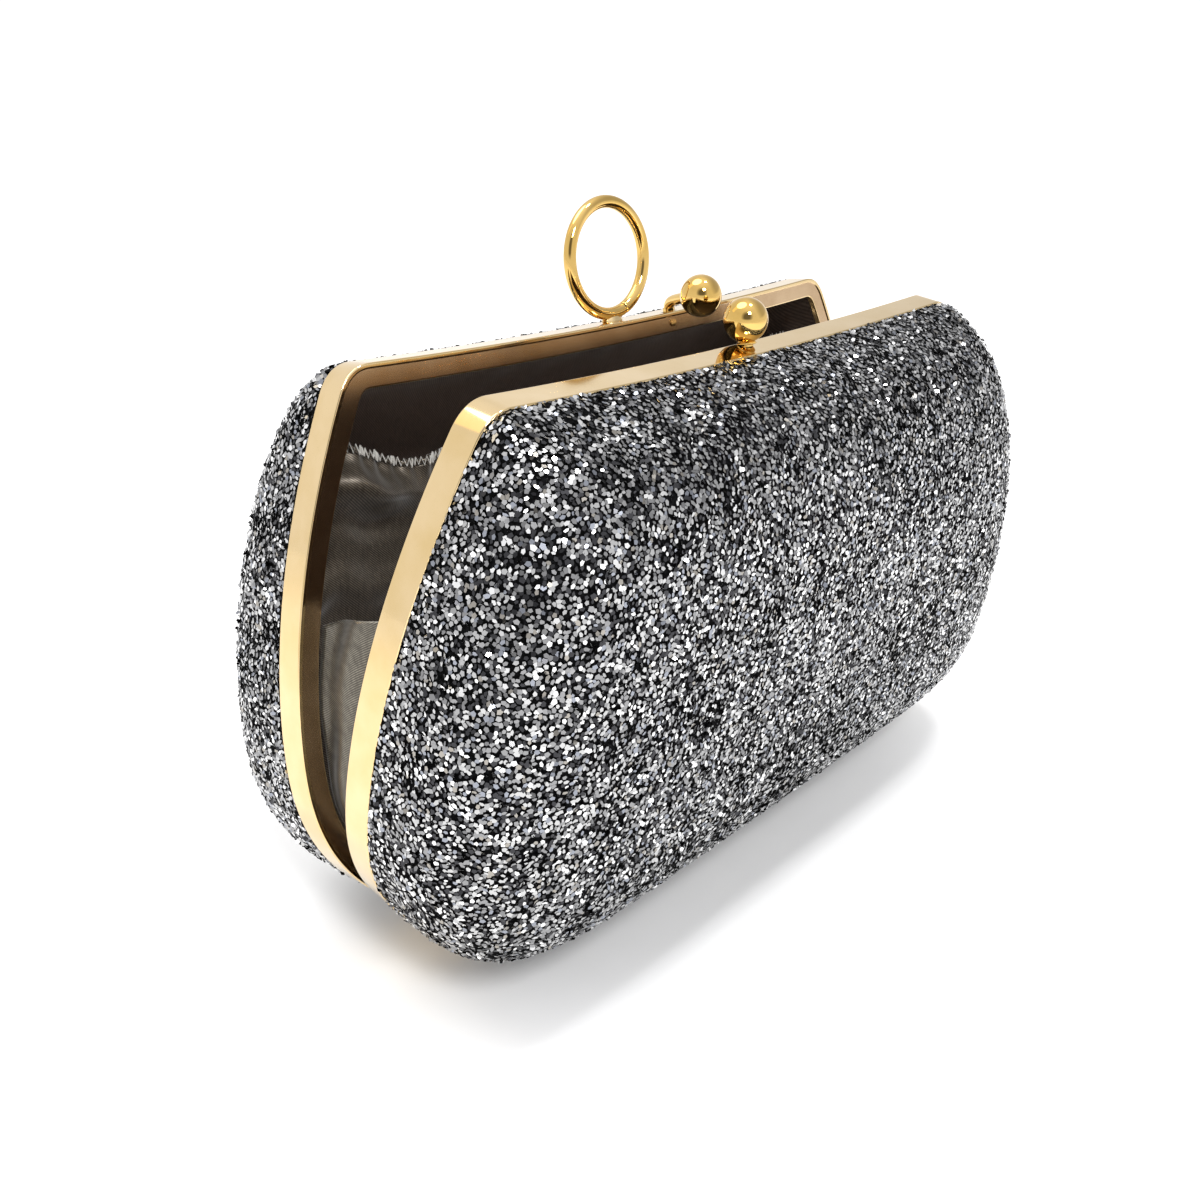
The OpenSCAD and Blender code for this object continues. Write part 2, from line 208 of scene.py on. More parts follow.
def dome_grid(inset, height, detail, rows):
    """Rows of points from a dome's edge towards its crown, evenly spaced along the surface."""
    points, inward = outline_points(detail)
    base = points + inset * inward
    fine = 1 - np.linspace(0, 1, 260) ** 3
    grid = np.empty((rows, len(points), 3))
    for i, (edge, rim) in enumerate(zip(base, points)):
        out = COVER_D + dome_d(fine * rim[0], DOME_Z + fine * (rim[1] - DOME_Z), height)
        path = np.stack([fine * edge[0], out, DOME_Z + fine * (edge[1] - DOME_Z)], 1)
        run = np.concatenate([[0], np.cumsum(np.linalg.norm(np.diff(path, axis=0), axis=1))])
        stops = np.linspace(0, run[-1], rows + 1)[:-1]
        for axis in range(3):
            grid[:, i, axis] = np.interp(stops, run, path[:, axis])
    return grid


# ---------------------------------------------------------------- mesh helpers
def ring_faces(rows, columns, first=0, closed=True):
    """Quads between rows of points; closed joins each row's last point to its first."""
    faces = []
    for r in range(rows - 1):
        for c in range(columns if closed else columns - 1):
            a, b = first + r * columns + c, first + r * columns + (c + 1) % columns
            faces.append((a, b, b + columns, a + columns))
    return faces


def join_faces(last, columns):
    """Quads from the last row of points, which starts at last, back to the first."""
    return [(last + c, last + (c + 1) % columns, (c + 1) % columns, c) for c in range(columns)]


def prism_faces(n):
    """Sides and ends of a prism whose two outlines have n points each."""
    sides = [(i, (i + 1) % n, n + (i + 1) % n, n + i) for i in range(n)]
    return sides + [tuple(range(n))[::-1], tuple(range(n, 2 * n))]


def fan_faces(row_start, columns, crown):
    """Triangles from a row of points to one crown point."""
    return [(row_start + c, row_start + (c + 1) % columns, crown) for c in range(columns)]


def new_piece(name, points, faces, materials, body, replaces=(), sharp=50, face_material=None):
    """A mesh piece that rides on a body. Edges that bend by more than sharp degrees stay crisp."""
    mesh = bpy.data.meshes.new(name)
    mesh.from_pydata(np.asarray(points, float).tolist(), [], [tuple(f) for f in faces])
    mesh.validate()
    for material in materials:
        mesh.materials.append(material)
    if face_material is not None:
        mesh.polygons.foreach_set("material_index", np.asarray(face_material, np.int32))
    finish_mesh(mesh, sharp)
    piece = bpy.data.objects.new(name, mesh)
    bpy.context.scene.collection.objects.link(piece)
    if body:
        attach(piece, body)
    if replaces:
        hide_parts(*replaces)
    return piece


def finish_mesh(mesh, sharp):
    """Smooth shading with crisp edges, or flat faces where sharp is 0."""
    mesh.polygons.foreach_set("use_smooth", [sharp > 0] * len(mesh.polygons))
    if sharp > 0:
        work = bmesh.new()
        work.from_mesh(mesh)
        for edge in work.edges:
            if len(edge.link_faces) == 2:
                edge.smooth = edge.calc_face_angle(0) < math.radians(sharp)
        work.to_mesh(mesh)
        work.free()
    mesh.update()


def outward(piece, sharp):
    """Turns all faces of a closed piece outwards."""
    work = bmesh.new()
    work.from_mesh(piece.data)
    bmesh.ops.recalc_face_normals(work, faces=work.faces)
    work.to_mesh(piece.data)
    work.free()
    finish_mesh(piece.data, sharp)


def oriented(faces, side):
    """The front half, at side -1, is a mirror image, so its faces turn round."""
    return faces if side > 0 else [tuple(reversed(f)) for f in faces]


def tube(path, radius, sides, closed=False, up=(0, 0, 1)):
    """Points and faces of a round tube along a path, with closed ends."""
    path = np.asarray(path, float)
    n = len(path)
    along = np.roll(path, -1, 0) - np.roll(path, 1, 0) if closed else np.gradient(path, axis=0)
    along /= np.linalg.norm(along, axis=1)[:, None]
    across = np.cross(along, np.array(up, float))
    across /= np.maximum(np.linalg.norm(across, axis=1), 1e-9)[:, None]
    third = np.cross(along, across)
    turn = np.linspace(0, 2 * np.pi, sides, endpoint=False)
    radii = np.broadcast_to(radius, n)[:, None, None]
    ring = np.cos(turn)[None, :, None] * across[:, None] + np.sin(turn)[None, :, None] * third[:, None]
    points = (path[:, None] + radii * ring).reshape(-1, 3)
    faces = ring_faces(n, sides)
    if closed:
        faces += join_faces((n - 1) * sides, sides)
    else:
        faces += [tuple(range(sides))[::-1], tuple((n - 1) * sides + c for c in range(sides))]
    return points, faces


# ---------------------------------------------------------------- materials
def fill_ramp(node, stops):
    """Sets a colour ramp's stops, each a position and a colour."""
    elements = node.color_ramp.elements
    while len(elements) < len(stops):
        elements.new(0.5)
    for element, (position, colour) in zip(elements, stops):
        element.position = position
        element.color = (*colour, 1)


class Material:
    """A material with short calls for its nodes."""

    def __init__(self, name):
        self.material = bpy.data.materials.new(name)
        self.material.use_nodes = True
        self.tree = self.material.node_tree
        self.shader = self.tree.nodes["Principled BSDF"]

    def set(self, **values):
        for name, value in values.items():
            self.shader.inputs[name.replace("_", " ")].default_value = value
        return self

    def node(self, kind, **values):
        node = self.tree.nodes.new(kind)
        for name, value in values.items():
            if name in node.inputs:
                node.inputs[name].default_value = value
            else:
                setattr(node, name, value)
        return node

    def link(self, source, target):
        self.tree.links.new(source, target)

    def place_of(self, scale=(1, 1, 1)):
        """Object coordinates in metres, stretched."""
        coords = self.node("ShaderNodeTexCoord")
        mapping = self.node("ShaderNodeMapping")
        mapping.inputs["Scale"].default_value = scale
        self.link(coords.outputs["Object"], mapping.inputs["Vector"])
        return mapping.outputs["Vector"]

    def noise(self, scale, detail=3.0, vector=None):
        node = self.node("ShaderNodeTexNoise", Scale=scale, Detail=detail)
        self.link(vector or self.place_of(), node.inputs["Vector"])
        return node.outputs["Fac"]

    def ramp(self, source, stops):
        node = self.node("ShaderNodeValToRGB")
        fill_ramp(node, stops)
        self.link(source, node.inputs["Fac"])
        return node.outputs["Color"]

    def spread(self, source, low, high):
        """Stretches values from 0 to 1 to the range from low to high."""
        node = self.node("ShaderNodeMapRange")
        node.inputs["To Min"].default_value = low
        node.inputs["To Max"].default_value = high
        self.link(source, node.inputs["Value"])
        return node.outputs["Result"]

    def bump(self, source, strength, distance):
        node = self.node("ShaderNodeBump", Strength=strength, Distance=distance)
        self.link(source, node.inputs["Height"])
        self.link(node.outputs["Normal"], self.shader.inputs["Normal"])


def gold(name, low, high, pale, deep):
    """Polished plating: colour and gloss drift a little, with faint wiping marks."""
    made = Material(name)
    made.set(Metallic=1.0)
    clouds = made.noise(90.0, 4.0)
    made.link(made.ramp(clouds, [(0.35, deep), (0.65, pale)]), made.shader.inputs["Base Color"])
    made.link(made.spread(made.noise(260.0, 5.0), low, high), made.shader.inputs["Roughness"])
    made.bump(made.noise(1.0, 6.0, made.place_of((300, 2600, 2600))), 0.03, 0.00001)
    return made.material


def steel(name):
    """Plated steel, brushed along x."""
    made = Material(name)
    made.set(Metallic=1.0)
    brushed = made.noise(1.0, 4.0, made.place_of((300, 4200, 4200)))
    made.link(made.ramp(brushed, [(0.3, (0.52, 0.50, 0.47)), (0.7, (0.68, 0.66, 0.62))]),
              made.shader.inputs["Base Color"])
    made.link(made.spread(brushed, 0.22, 0.38), made.shader.inputs["Roughness"])
    made.bump(brushed, 0.15, 0.00004)
    return made.material


# A diagonal wave of this scale has its ribs one unit apart, measured across them in the x-z plane
RIB_SCALE = 0.444


def satin(name, dark, light, thread, sheen=0.35, roughness=0.42, across=0.0, metallic=0.0):
    """Fine twill: diagonal ribs a thread apart, with slubs and a soft sheen. The ribs turn with across."""
    made = Material(name)
    made.set(Roughness=roughness, Sheen_Weight=sheen, Sheen_Roughness=0.4, Specular_IOR_Level=0.45,
             Metallic=metallic)
    ribs = made.node("ShaderNodeTexWave", wave_type="BANDS", bands_direction="DIAGONAL",
                     Scale=RIB_SCALE / (thread * MM), Distortion=0.3, Detail=1.0)
    made.link(made.place_of((1, across, 1)), ribs.inputs["Vector"])
    slubs = made.noise(1.0, 3.0, made.place_of((2500, 500, 500)))
    both = made.node("ShaderNodeMath", operation="MULTIPLY")
    made.link(ribs.outputs["Fac"], both.inputs[0])
    made.link(slubs, both.inputs[1])
    made.link(made.ramp(both.outputs[0], [(0.05, dark), (0.75, light)]), made.shader.inputs["Base Color"])
    made.bump(ribs.outputs["Fac"], 0.35, 0.00006)
    return made.material


def board(name):
    """Dark pulp board with short fibres."""
    made = Material(name)
    made.set(Roughness=0.85)
    fibres = made.noise(700.0, 6.0)
    made.link(made.ramp(fibres, [(0.3, (0.016, 0.015, 0.014)), (0.7, (0.05, 0.047, 0.043))]),
              made.shader.inputs["Base Color"])
    made.bump(fibres, 0.3, 0.00008)
    return made.material


def glitter_ground(name):
    """The dark glue-coated cloth that shows between the flakes."""
    made = Material(name)
    made.set(Roughness=0.7, Specular_IOR_Level=0.04)
    crumbs = made.noise(1500.0, 3.0)
    made.link(made.ramp(crumbs, [(0.45, (0.001, 0.001, 0.001)), (0.85, (0.010, 0.010, 0.012))]),
              made.shader.inputs["Base Color"])
    made.bump(crumbs, 0.8, 0.00025)
    return made.material


def flake(name, colour, roughness):
    """Metal film of one colour; flakes differ by which of these they have."""
    return Material(name).set(Base_Color=(*colour, 1), Metallic=1.0, Roughness=roughness).material


# ---------------------------------------------------------------- camera, floor and light
CAMERA_AZ = math.radians(-47.74)
CAMERA_EL = math.radians(24.41)
CAMERA_ROLL = math.radians(1.29)
CAMERA_LENS = 35.4
CAMERA_TARGET = Vector((-25.09, 0.0, 64.94)) * MM
CAMERA_AWAY = 267.3 * MM
SENSOR_W = 36.0


def make_camera():
    level = Vector((math.cos(CAMERA_AZ), math.sin(CAMERA_AZ), 0))
    back = Vector((math.sin(CAMERA_AZ) * math.cos(CAMERA_EL),
                   -math.cos(CAMERA_AZ) * math.cos(CAMERA_EL), math.sin(CAMERA_EL)))
    upright = back.cross(level)
    right = math.cos(CAMERA_ROLL) * level + math.sin(CAMERA_ROLL) * upright
    up = back.cross(right)
    data = bpy.data.cameras.new("camera")
    data.lens, data.sensor_width = CAMERA_LENS, SENSOR_W
    data.clip_start, data.clip_end = 0.01, 60
    camera = bpy.data.objects.new("camera", data)
    bpy.context.scene.collection.objects.link(camera)
    turn = Matrix((right, up, back)).transposed()
    camera.matrix_world = Matrix.Translation(CAMERA_TARGET + CAMERA_AWAY * back) @ turn.to_4x4()
    bpy.context.scene.camera = camera


FLOOR_REACH = 14.0    # metres
FLOOR_GREYS = (0.86, 0.88)
FLOOR_GLOW = 0.03
DIP_DEPTH = 2.2
DIP_Y = -19.0
DIP_HALF_X = 88.0
DIP_HALF_Y = 26.0


def make_floor():
    """White paper, with a shallow dip that leaves room for the front half when it is wide open."""
    made = Material("floor_paper").set(Roughness=0.75, Specular_IOR_Level=0.2,
                                       Emission_Color=(1, 1, 1, 1), Emission_Strength=FLOOR_GLOW)
    dark, light = ((grey, grey, grey) for grey in FLOOR_GREYS)
    made.link(made.ramp(made.noise(40.0, 2.0), [(0.3, dark), (0.7, light)]), made.shader.inputs["Base Color"])
    fine = np.linspace(-1, 1, 61)
    xs = np.concatenate([[-FLOOR_REACH], DIP_HALF_X * fine * MM, [FLOOR_REACH]])
    ys = np.concatenate([[-FLOOR_REACH], (DIP_Y + DIP_HALF_Y * fine) * MM, [FLOOR_REACH]])
    x, y = np.meshgrid(xs, ys)
    bowl_x = np.clip(1 - (x / MM / DIP_HALF_X) ** 4, 0, 1) ** 2
    bowl_y = np.clip(1 - ((y / MM - DIP_Y) / DIP_HALF_Y) ** 4, 0, 1) ** 2
    points = np.stack([x, y, -DIP_DEPTH * MM * bowl_x * bowl_y], -1).reshape(-1, 3)
    mesh = bpy.data.meshes.new("floor")
    mesh.from_pydata(points.tolist(), [], ring_faces(len(ys), len(xs), closed=False))
    mesh.materials.append(made.material)
    finish_mesh(mesh, 50)
    floor = bpy.data.objects.new("floor", mesh)
    bpy.context.scene.collection.objects.link(floor)


# Dimmer places of the studio: the way to each, where it begins and is full (as cosines), what light it keeps
DARK_PLACES = [
    ((-0.67, -0.61, 0.42), (0.86, 0.97), 0.20),
    ((0.91, -0.28, 0.32), (0.60, 0.92), 0.60),
]
# Dark places fade in between these heights above the horizon, as sines
DARK_FROM, DARK_FULL = 0.12, 0.26
# Brightness by height, from the horizon to straight overhead
WORLD_STOPS = [(0.0, 1.08), (0.12, 1.08), (0.42, 1.05), (0.60, 1.00), (0.80, 1.10), (1.0, 1.40)]
# The studio is this much bluer than grey
COOL = 1.01


def make_world():
    """A white studio, dimmer by the viewer and to the right, so that metal has something to show."""
    world = bpy.data.worlds.new("studio")
    world.use_nodes = True
    tree = world.node_tree

    def node(kind, *sources, operation=None):
        made = tree.nodes.new(kind)
        if operation:
            made.operation = operation
        for socket, source in zip(made.inputs, sources):
            if isinstance(source, (float, tuple)):
                socket.default_value = source
            else:
                tree.links.new(source, socket)
        return made.outputs

    way = node("ShaderNodeTexCoord")["Generated"]
    height = node("ShaderNodeSeparateXYZ", way)["Z"]
    ramp = tree.nodes.new("ShaderNodeValToRGB")
    fill_ramp(ramp, [(position, (grey, grey, grey * COOL)) for position, grey in WORLD_STOPS])
    tree.links.new(height, ramp.inputs["Fac"])
    level = ramp.outputs["Color"]
    above = node("ShaderNodeMapRange", height, DARK_FROM, DARK_FULL, 0.0, 1.0)["Result"]
    for towards, (begin, full), rest in DARK_PLACES:
        facing = node("ShaderNodeVectorMath", way, tuple(Vector(towards).normalized()),
                      operation="DOT_PRODUCT")["Value"]
        amount = node("ShaderNodeMapRange", facing, begin, full, 0.0, 1.0 - rest)["Result"]
        amount = node("ShaderNodeMath", amount, above, operation="MULTIPLY")["Value"]
        keep = node("ShaderNodeMath", 1.0, amount, operation="SUBTRACT")["Value"]
        level = node("ShaderNodeVectorMath", level, keep, operation="MULTIPLY")["Vector"]
    tree.links.new(level, tree.nodes["Background"].inputs["Color"])
    bpy.context.scene.world = world


def make_sun(towards, strength, width):
    """A broad soft sun for the whole floor; width is its angle in degrees."""
    data = bpy.data.lights.new("soft_sun", "SUN")
    data.energy, data.angle = strength, math.radians(width)
    sun = bpy.data.objects.new("soft_sun", data)
    bpy.context.scene.collection.objects.link(sun)
    sun.matrix_world = Vector(towards).to_track_quat("Z", "Y").to_matrix().to_4x4()


LIGHT_AIM = Vector((0.0, 0.0, 0.07))


def make_light(name, where, size, watts, colour=(1, 1, 1)):
    """A rectangular lamp that faces the middle of the bag; where and size are in metres."""
    data = bpy.data.lights.new(name, "AREA")
    data.shape = "RECTANGLE"
    data.size, data.size_y = size
    data.energy = watts
    data.color = colour
    light = bpy.data.objects.new(name, data)
    bpy.context.scene.collection.objects.link(light)
    back = (Vector(where) - LIGHT_AIM).normalized()
    light.matrix_world = Matrix.Translation(where) @ back.to_track_quat("Z", "Y").to_matrix().to_4x4()


make_camera()
make_floor()
make_world()
make_sun((-0.15, 0.30, 0.95), 1.1, 38)
make_light("softbox_front", (-0.45, -0.75, 0.95), (0.25, 0.25), 7.6)
make_light("lamp_top", (0.25, -0.2, 1.2), (0.15, 0.15), 4.0)
make_light("lamp_warm", (-0.55, 0.75, 0.95), (0.35, 0.5), 0.36, (1.0, 0.66, 0.08))
bpy.context.scene.view_settings.view_transform = "Standard"

# ---------------------------------------------------------------- materials in use
# Gold: name, least and most roughness, pale and deep colour. Satin: name, dark and light colour.
GILT = gold("gilt_frame", 0.05, 0.09, (0.79, 0.605, 0.345), (0.73, 0.54, 0.27))
# The flange's gilt is the band's gold made rougher, which is its finish, and painted darker and browner,
# which is a painted reflection of the dark lining that the flange faces.
GILT_FLANGE_PAINTED_REFLECTION = gold("gilt_flange_painted_reflection", 0.16, 0.24, (0.58, 0.42, 0.26), (0.48, 0.33, 0.19))
GILT_BRIGHT = gold("gilt_knobs", 0.03, 0.07, (0.75, 0.51, 0.18), (0.66, 0.43, 0.125))
STEEL = steel("plated_steel")
LINING_SATIN = satin("lining_satin", (0.15, 0.11, 0.09), (0.30, 0.225, 0.185), thread=0.4)
POCKET_SATIN = satin("pocket_satin", (0.055, 0.045, 0.034), (0.30, 0.255, 0.20), thread=0.42, sheen=0.5,
                     roughness=0.32, metallic=0.5)
GUSSET_SATIN = satin("gusset_satin", (0.07, 0.062, 0.05), (0.30, 0.275, 0.225), thread=0.42, sheen=0.5,
                     roughness=0.26, across=1.7, metallic=0.6)
HEM_THREAD = satin("hem_thread", (0.84, 0.82, 0.77), (0.95, 0.94, 0.90), thread=0.15, sheen=0.3)
BOARD = board("pulp_board")
GROUND = glitter_ground("glitter_ground")
# Flake materials, each with its share of all flakes
FLAKES = [
    (flake("flake_silver", (0.86, 0.86, 0.86), 0.16), 0.12),
    (flake("flake_grey", (0.50, 0.50, 0.50), 0.20), 0.25),
    (flake("flake_graphite", (0.27, 0.27, 0.275), 0.22), 0.29),
    (flake("flake_dark", (0.05, 0.05, 0.054), 0.26), 0.24),
    (flake("flake_blue", (0.28, 0.295, 0.335), 0.20), 0.07),
    (flake("flake_warm", (0.33, 0.31, 0.28), 0.20), 0.03),
]


# ---------------------------------------------------------------- frames
def arc(centre, radius, start, stop, steps=5):
    """Points of an arc between two angles in degrees."""
    turns = [math.radians(start + (stop - start) * i / steps) for i in range(steps + 1)]
    return [(centre[0] + radius * math.cos(a), centre[1] + radius * math.sin(a)) for a in turns]


def held(profile, hold=0.07):
    """A closed profile with extra points by the ends of its flats, so that they shade flat."""
    made = []
    for k, here in enumerate(profile):
        after = profile[(k + 1) % len(profile)]
        here, after = np.array(here), np.array(after)
        length = np.linalg.norm(after - here)
        made.append(tuple(here))
        if length > 4 * hold:
            step = hold * (after - here) / length
            made += [tuple(here + step), tuple(after - step)]
    return made


def frame_profile():
    """Section of a frame as (inset, out): band, folded back edge, flange and inner lip."""
    edge_r, rim_r, lip_r, fold_r = 0.34, 0.3, 0.29, 0.12
    flange_back = FACE_GAP + SHEET_T
    rim_in = 0.95
    lip_t, lip_d = FLANGE_W - 2 * lip_r, 2.0
    profile = arc((edge_r, BAND_W - edge_r), edge_r, 180, 90)
    profile += [(SHEET_T, BAND_W), (SHEET_T, flange_back), (lip_t, flange_back)]
    profile += arc((lip_t + lip_r, lip_d - lip_r), lip_r, 180, 0, 8)
    profile += arc((FLANGE_W - lip_r, RECESS_D + lip_r), lip_r, 0, -90)
    profile += [(rim_in + 0.22, RECESS_D)]
    profile += arc((rim_in - fold_r, FACE_GAP + fold_r), fold_r, 0, -90, 3)
    profile += arc((rim_r, FACE_GAP + rim_r), rim_r, -90, -180)
    return held(profile)


def cutter(points, faces):
    """A closed solid that cut() takes away from a piece."""
    mesh = bpy.data.meshes.new("cutter")
    mesh.from_pydata(np.asarray(points).tolist(), [], faces)
    made = bpy.data.objects.new("cutter", mesh)
    bpy.context.scene.collection.objects.link(made)
    outward(made, 0)
    return made


def block_cutter(low, high, side):
    """A box between two corners of a half's flat frame."""
    corners = [[(low, high)[i][0], (low, high)[j][1], (low, high)[k][2]]
               for k in (0, 1) for j in (0, 1) for i in (0, 1)]
    faces = [(0, 2, 3, 1), (4, 5, 7, 6), (0, 1, 5, 4), (2, 6, 7, 3), (0, 4, 6, 2), (1, 3, 7, 5)]
    return cutter(place(corners, side), faces)


def cut(piece, cutters):
    for tool in cutters:
        change = piece.modifiers.new("cut", "BOOLEAN")
        change.operation, change.solver, change.object = "DIFFERENCE", "EXACT", tool
        graph = bpy.context.evaluated_depsgraph_get()
        mesh = bpy.data.meshes.new_from_object(piece.evaluated_get(graph))
        piece.modifiers.clear()
        piece.data = mesh
        bpy.data.objects.remove(tool)


# Room that the frames give: round a knuckle, for a hinge leaf, for an arm and for a corner tongue
KNUCKLE_ROOM_R = 2.25
HINGE_ROOM_X = HINGE_LEN / 2 + 0.5
LEAF_D, LEAF_Z = (1.04, 2.25), (-0.9, 8.1)
ARM_ROOM_X = 2.5
ARM_D, ARM_Z = (1.0, 2.1), (TOP_Z - 6, TOP_Z + 2)
TONGUE_ANGLES = (66, 33)
TONGUE_INSETS = (0.92, 2.6)
TONGUE_D = (-1.0, 1.4)


def hinge_cutters(side):
    made = []
    for where in (-HINGE_X, HINGE_X):
        low, high = where - HINGE_ROOM_X, where + HINGE_ROOM_X
        points, faces = tube([(low, 0, 0), (where, 0, 0), (high, 0, 0)], KNUCKLE_ROOM_R, 32)
        made.append(cutter(place(points, side), faces))
        made.append(block_cutter((low, LEAF_D[0], LEAF_Z[0]), (high, LEAF_D[1], LEAF_Z[1]), side))
    return made


def arm_cutter(x, side):
    return block_cutter((x - ARM_ROOM_X, ARM_D[0], ARM_Z[0]), (x + ARM_ROOM_X, ARM_D[1], ARM_Z[1]), side)


def tongue_cutters(side):
    """Slots behind the bottom corners for the other half's tongues."""
    outer = np.array([bottom_corner(math.radians(angle)) for angle in np.linspace(*TONGUE_ANGLES, 9)])
    along = np.gradient(outer, axis=0)
    along /= np.linalg.norm(along, axis=1)[:, None]
    normal = np.stack([-along[:, 1], along[:, 0]], 1)
    near, far = (outer + inset * normal for inset in TONGUE_INSETS)
    made = []
    for mirror in (1, -1):
        ring = np.vstack([near, far[::-1]]) * [mirror, 1]
        points = [(x, d, z) for d in TONGUE_D for x, z in ring]
        made.append(cutter(place(points, side), prism_faces(len(ring))))
    return made


FRAME_DETAIL = 3
FLANGE_FROM = 1.0


def make_frame(side, body, node, arm_x):
    """Its profile swept round the outline; near the bottom it leans back to let the halves turn."""
    outline, inward = outline_points(FRAME_DETAIL)
    profile = frame_profile()
    rows = []
    for inset, out in profile:
        flat = outline + inset * inward
        relieved = np.where(flat[:, 1] < 0, np.maximum(out, -RELIEF * flat[:, 1]), out)
        rows.append(np.stack([flat[:, 0], relieved, flat[:, 1]], 1))
    columns, count = len(outline), len(profile)
    # Faces on the flange and its lip take the darker gilt, whose colour is a painted reflection of the dark
    # lining
    on_flange = []
    for here, after in zip(profile, profile[1:] + profile[:1]):
        on_flange.append(min(here[0], after[0]) > FLANGE_FROM and max(here[1], after[1]) < RECESS_D + 0.01)
    faces = ring_faces(count, columns) + join_faces((count - 1) * columns, columns)
    piece = new_piece(node.replace("_", "_gilt_"), place(np.vstack(rows), side), oriented(faces, side),
                      [GILT, GILT_FLANGE_PAINTED_REFLECTION], None, [node],
                      face_material=np.repeat(on_flange, columns))
    outward(piece, 0)
    cut(piece, hinge_cutters(side) + [arm_cutter(arm_x, side)] + tongue_cutters(side))
    finish_mesh(piece.data, 40)
    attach(piece, body)


make_frame(REAR, "rear_half", "rear_frame", REAR_ARM_X)
make_frame(FRONT, "front_half", "front_frame", FRONT_KNOB[0])


# ---------------------------------------------------------------- shells and covers
def skin(outer, inner, crown_out, crown_in):
    """Closed skin between an outer and an inner stack of rows that start at one rim."""
    columns = outer.shape[1]
    n_out, n_in = len(outer), len(inner)
    points = np.vstack([outer.reshape(-1, 3), inner.reshape(-1, 3), [crown_out, crown_in]])
    start = n_out * columns
    faces = ring_faces(n_out, columns) + fan_faces(start - columns, columns, len(points) - 2)
    inside = ring_faces(n_in, columns, start)
    inside += fan_faces(start + (n_in - 1) * columns, columns, len(points) - 1)
    faces += [tuple(reversed(f)) for f in inside]
    faces += [(c, start + c, start + (c + 1) % columns, (c + 1) % columns) for c in range(columns)]
    return points, faces


def rim_row(inset, d):
    """One row of points round a half, at one distance from the meeting plane."""
    points, inward = outline_points(DETAIL)
    flat = points + inset * inward
    return np.stack([flat[:, 0], np.full(len(flat), d), flat[:, 1]], 1)[None]


def crown(height):
    return (0, COVER_D + height, DOME_Z)


def make_shell(side, body, node):
    outer_t, outer_h = COVER_IN_T + CLEAR, COVER_IN_H - CLEAR
    outer = np.vstack([rim_row(outer_t, SKIRT_D), dome_grid(outer_t, outer_h, DETAIL, ROWS)])
    inner = np.vstack([rim_row(SHELL_IN_T, SKIRT_D), dome_grid(SHELL_IN_T, SHELL_IN_H, DETAIL, ROWS)])
    points, faces = skin(outer, inner, crown(outer_h), crown(SHELL_IN_H))
    new_piece(node.replace("_", "_board_"), place(points, side), oriented(faces, side), [BOARD], body,
              [node])


def make_cover(side, body, node):
    """The glitter cloth's ground. Gives the piece and the rows of its outside, for the flakes."""
    outer_h = DOME_H - GROUND_SINK
    outer = np.vstack([rim_row(SHEET_T + CLEAR, SKIRT_D), rim_row(SHEET_T + CLEAR, BAND_W + 0.01),
                       dome_grid(COVER_EDGE + 0.1, outer_h, DETAIL, ROWS)])
    inner = np.vstack([rim_row(COVER_IN_T, SKIRT_D), dome_grid(COVER_IN_T, COVER_IN_H, DETAIL, ROWS)])
    points, faces = skin(outer, inner, crown(outer_h), crown(COVER_IN_H))
    piece = new_piece(node.replace("_", "_glitter_"), place(points, side), oriented(faces, side), [GROUND],
                      body, [node])
    return piece, np.vstack([outer, np.broadcast_to(crown(outer_h), outer[:1].shape)])


# ---------------------------------------------------------------- flakes
FLAKE_R = 0.60
FLAKE_SPACING = 0.67
FLAKE_CORNERS = 5
FLAKE_LEAN, SWELL_LEAN = 0.24, 0.10
FLAKE_LIFT, FLAKE_PRESS = 0.32, 0.04
# Tries for a flake's place, per square of the spacing
SCATTER_TRIES = 3.4


def unit(vectors):
    return vectors / np.linalg.norm(vectors, axis=1)[:, None]


def random_waves(rng, count, shortest, longest):
    """Wave vectors of random directions, with wavelengths between two lengths."""
    return unit(rng.normal(size=(count, 3))) / rng.uniform(shortest, longest, (count, 1)) * 2 * np.pi


def scatter(grid, spacing, rng):
    """Even random places on a grid surface, and the surface's normals there."""
    here, above = grid[:-1], grid[1:]
    beside, beyond = np.roll(here, -1, 1), np.roll(above, -1, 1)
    triangles = np.vstack([np.stack([here, beside, above], 2).reshape(-1, 3, 3),
                           np.stack([beside, beyond, above], 2).reshape(-1, 3, 3)])
    normals = np.cross(triangles[:, 1] - triangles[:, 0], triangles[:, 2] - triangles[:, 0])
    areas = np.linalg.norm(normals, axis=1) / 2
    keep = areas > 1e-9
    triangles, normals, areas = triangles[keep], normals[keep] / (2 * areas[keep])[:, None], areas[keep]
    count = int(SCATTER_TRIES * areas.sum() / spacing**2)
    pick = rng.choice(len(areas), count, p=areas / areas.sum())
    u, v = rng.random(count), rng.random(count)
    over = u + v > 1
    u[over], v[over] = 1 - u[over], 1 - v[over]
    first, second, third = np.moveaxis(triangles[pick], 1, 0)
    points = first + u[:, None] * (second - first) + v[:, None] * (third - first)
    tree = KDTree(count)
    for i, point in enumerate(points):
        tree.insert(point, i)
    tree.balance()
    free = np.ones(count, bool)
    chosen = []
    for i in range(count):
        if free[i]:
            chosen.append(i)
            for found in tree.find_range(points[i], spacing):
                free[found[1]] = False
    return points[chosen], normals[pick[chosen]]


